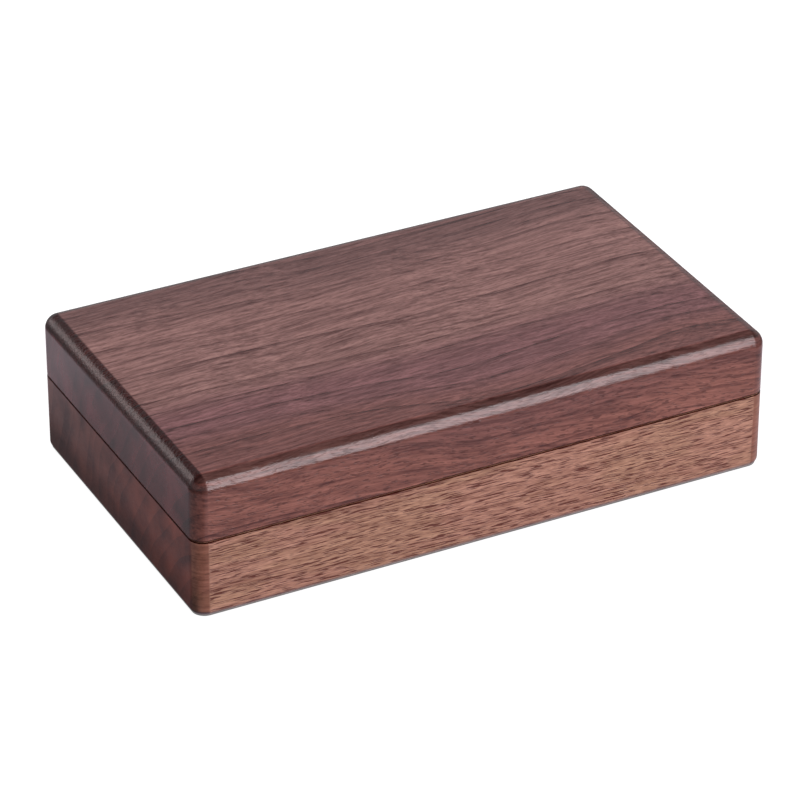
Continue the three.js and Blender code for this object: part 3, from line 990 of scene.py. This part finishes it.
def distance_outside(graph, place, reach_x, reach_y):
    """How far a point lies outside a rectangle about the middle of the floor."""
    outside = graph.vector("SUBTRACT", graph.vector("ABSOLUTE", place), (reach_x, reach_y, 0.0))
    return graph.vector("LENGTH", graph.vector("MAXIMUM", outside, (0.0, 0.0, 0.0)))


def contact_shade(graph, place):
    """What the camera sees of the floor: a thin dark line just inside the box's outline."""
    outside = distance_outside(graph, place, half_length - corner_radius, half_depth - corner_radius)
    return graph.rise(graph.math("SUBTRACT", outside, corner_radius), *contact_range)


def mirrored_gleam(graph, place):
    """How bright the floor is where the box mirrors it."""
    x, y = graph.split(place)[:2]
    beyond = distance_outside(graph, place, half_length, half_depth)
    at_left = graph.rise(x, *left_side_range)
    left_gleam = graph.product(graph.rise(beyond, *left_gleam_range),
                               graph.rise(y, *left_gleam_by_depth))
    gleam = graph.between(at_left, front_gleam, left_gleam)
    gleam = graph.product(gleam, graph.rise(beyond, *gleam_end_range))
    foot_gleam = graph.product(graph.rise(beyond, *foot_gleam_range),
                               graph.rise(x, *foot_gleam_side_range))
    return graph.math("MAXIMUM", gleam, foot_gleam)


def make_floor():
    mesh = bpy.data.meshes.new("floor")
    corners = ((-1, -1), (1, -1), (1, 1), (-1, 1))
    corners = [(x * floor_reach, y * floor_reach, -floor_drop) for x, y in corners]
    mesh.from_pydata(corners, [], [(0, 1, 2, 3)])
    floor = bpy.data.objects.new("floor", mesh)
    bpy.context.scene.collection.objects.link(floor)
    material, graph, place = new_material("pale_floor")
    seen, mirrored = ray_kinds(graph)
    glow = graph.product(mirrored, mirrored_gleam(graph, place))
    glow = graph.added(glow, seen, contact_shade(graph, place))
    tint = graph.mix(mirrored, white, floor_mirrored_tint)
    paper = graph.node("BsdfDiffuse", {"Color": floor_paper})
    light = graph.node("Emission", {"Color": tint, "Strength": glow})
    graph.surface(graph.node("AddShader", {0: paper.outputs[0], 1: light.outputs[0]}))
    mesh.materials.append(material)


# Surround: white to the camera, and to the object a soft wall below a dim ceiling

wall_range = (0.62, 0.54)
ceiling_light = 0.1
wall_light = 0.2
wall_gleam = 0.54
wall_mirrored_tint = (1.0, 0.94, 0.98, 1.0)


def make_world():
    world = bpy.data.worlds.new("studio")
    bpy.context.scene.world = world
    graph = Graph(world)
    height = graph.split(graph.node("TexCoord").outputs["Generated"])[2]
    wall = graph.rise(height, *wall_range)
    seen, mirrored = ray_kinds(graph)
    gleam = graph.product(mirrored, graph.added(ceiling_light, wall, wall_gleam))
    soft = graph.added(ceiling_light, wall, wall_light)
    strength = graph.math("MAXIMUM", graph.math("MAXIMUM", gleam, seen), soft)
    tint = graph.mix(mirrored, white, wall_mirrored_tint)
    back = graph.node("Background", {"Color": tint, "Strength": strength})
    graph.node("OutputWorld", {"Surface": back.outputs[0]})


# Lamps: soft boxes, some of them not seen in reflections

lamp_distance = 1.2
lamp_tint = (0.99, 0.975, 1.02)
back_left_tint = (1.0, 0.86, 0.85)


def add_softbox(name, direction, width, height, radiance, mirrored=True, lean=0.0, tint=lamp_tint):
    """A lamp that faces the box from this direction, turned on its axis by the lean in degrees."""
    light = bpy.data.lights.new(name, "AREA")
    light.shape = "RECTANGLE"
    light.size = width
    light.size_y = height
    light.color = tint
    light.energy = radiance * math.pi * width * height
    lamp = bpy.data.objects.new(name, light)
    bpy.context.scene.collection.objects.link(lamp)
    away = Vector(direction).normalized()
    lamp.location = away * lamp_distance
    lamp.rotation_mode = "QUATERNION"
    facing = away.to_track_quat("Z", "Y").to_matrix() @ Matrix.Rotation(math.radians(lean), 3, "Z")
    lamp.rotation_quaternion = facing.to_quaternion()
    lamp.visible_camera = False
    lamp.visible_glossy = mirrored


# Camera, fitted to the photograph's edges

camera_place = (-0.537631, -1.046127, 0.722041)
camera_aim = (0.003146, 0.00805, 0.014459)
camera_roll = math.radians(0.136)
camera_lens = 192.4
camera_sensor = 36.0
camera_clip = (0.01, 100.0)


def make_camera():
    camera = bpy.data.cameras.new("camera")
    camera.sensor_width = camera_sensor
    camera.lens = camera_lens
    camera.clip_start, camera.clip_end = camera_clip
    holder = bpy.data.objects.new("camera", camera)
    bpy.context.scene.collection.objects.link(holder)
    holder.location = camera_place
    look = Vector(camera_aim) - Vector(camera_place)
    level = look.to_track_quat("-Z", "Y").to_matrix().to_4x4()
    turned = level @ Matrix.Rotation(camera_roll, 4, "Z")
    holder.rotation_mode = "QUATERNION"
    holder.rotation_quaternion = turned.to_quaternion()
    bpy.context.scene.camera = holder


# The scene

for node in nodes.values():
    finish_node(node)
make_rolls()
make_lid_pad()
make_linings()
make_floor()
make_world()
add_softbox("key", (0.405, -0.789, 0.462), width=0.42, height=1.36, radiance=5.5, lean=-15.0)
add_softbox("top", (-0.1, 0.3, 0.95), width=0.6, height=0.8, radiance=3.3, mirrored=False)
add_softbox("left", (-0.85, -0.35, 0.4), width=0.8, height=0.8, radiance=0.4, mirrored=False)
add_softbox("back_left", (-0.53, 0.74, 0.39), width=0.45, height=0.5, radiance=1.65,
            tint=back_left_tint)
make_camera()
bpy.context.scene.view_settings.view_transform = "Standard"
